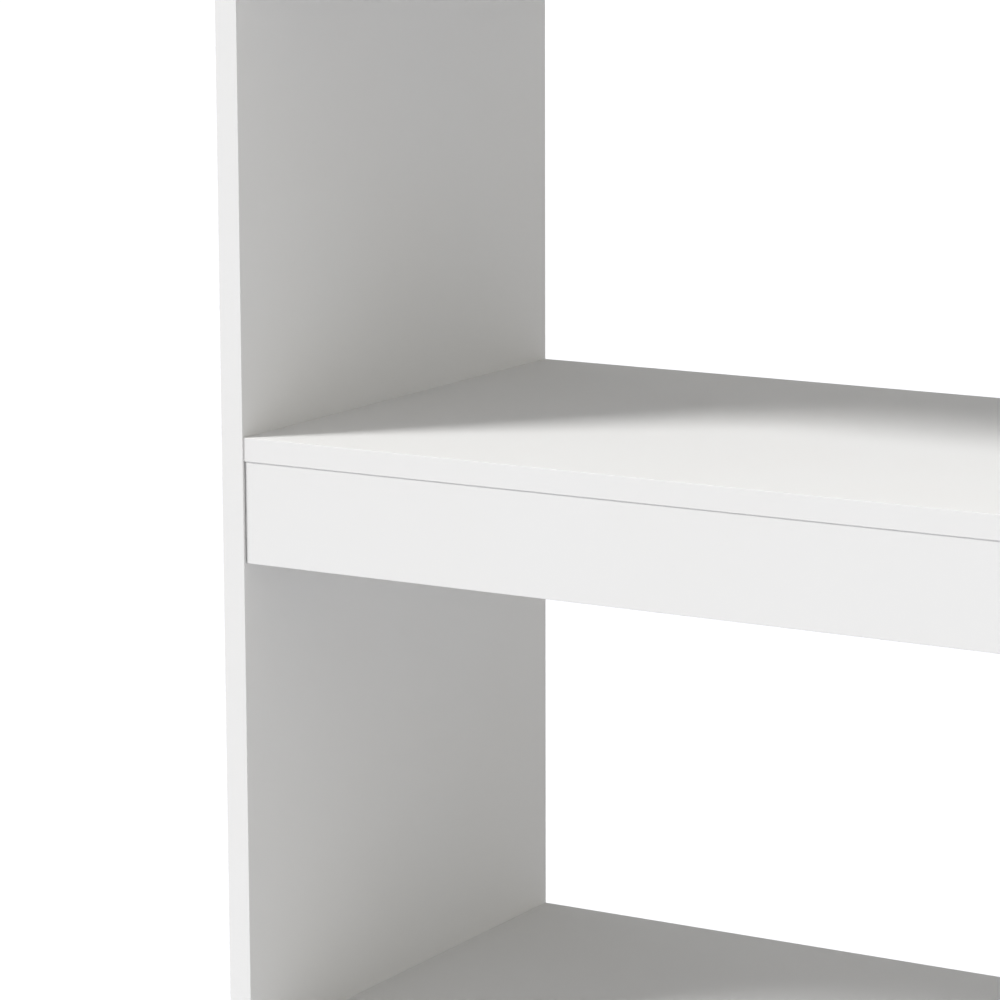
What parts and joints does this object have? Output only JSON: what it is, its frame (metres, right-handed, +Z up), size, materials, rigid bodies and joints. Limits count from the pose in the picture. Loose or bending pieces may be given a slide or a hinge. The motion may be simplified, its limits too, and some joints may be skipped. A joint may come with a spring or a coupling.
{
  "type": "staircase bookshelf",
  "caption": "Open-backed white bookshelf that steps down from a tall side like a stair, with an apron under the front of each shelf, half-lapped uprights and hidden cam fittings.",
  "frame": {"origin": "on the floor, under the middle of the overall width and depth", "axes": "+X to the right, from the tall side to the low side, +Y to the back, +Z up; the aprons face -Y"},
  "size_m": [2.468, 0.4, 1.35],
  "materials": {
    "white_lacquer": "matt white lacquer on medium-density fibreboard",
    "zinc_die_cast": "zinc alloy, die cast and tumbled",
    "zinc_plated_steel": "bright zinc plating on steel",
    "beech": "bare fluted beech",
    "glide_plastic": "moulded white polyethylene"
  },
  "bodies": {
    "root": {"upright_1": "white_lacquer", "upright_2": "white_lacquer", "upright_3": "white_lacquer", "upright_4": "white_lacquer", "shelf_1": "white_lacquer", "apron_1_bay_1": "white_lacquer", "apron_1_bay_2": "white_lacquer", "apron_1_bay_3": "white_lacquer", "shelf_2": "white_lacquer", "apron_2_bay_1": "white_lacquer", "apron_2_bay_2": "white_lacquer", "apron_2_bay_3": "white_lacquer", "shelf_3": "white_lacquer", "apron_3_bay_1": "white_lacquer", "apron_3_bay_2": "white_lacquer", "shelf_4": "white_lacquer", "apron_4_bay_1": "white_lacquer", "shelf_1_cams": "zinc_die_cast", "shelf_1_cam_bolts": "zinc_plated_steel", "shelf_1_dowels": "beech", "shelf_2_cams": "zinc_die_cast", "shelf_2_cam_bolts": "zinc_plated_steel", "shelf_2_dowels": "beech", "shelf_3_cams": "zinc_die_cast", "shelf_3_cam_bolts": "zinc_plated_steel", "shelf_3_dowels": "beech", "shelf_4_cams": "zinc_die_cast", "shelf_4_cam_bolts": "zinc_plated_steel", "shelf_4_dowels": "beech", "floor_glides": "glide_plastic", "wall_bracket_left": "zinc_plated_steel", "wall_bracket_right": "zinc_plated_steel", "bracket_screws": "zinc_plated_steel"}
  },
  "joints": []
}
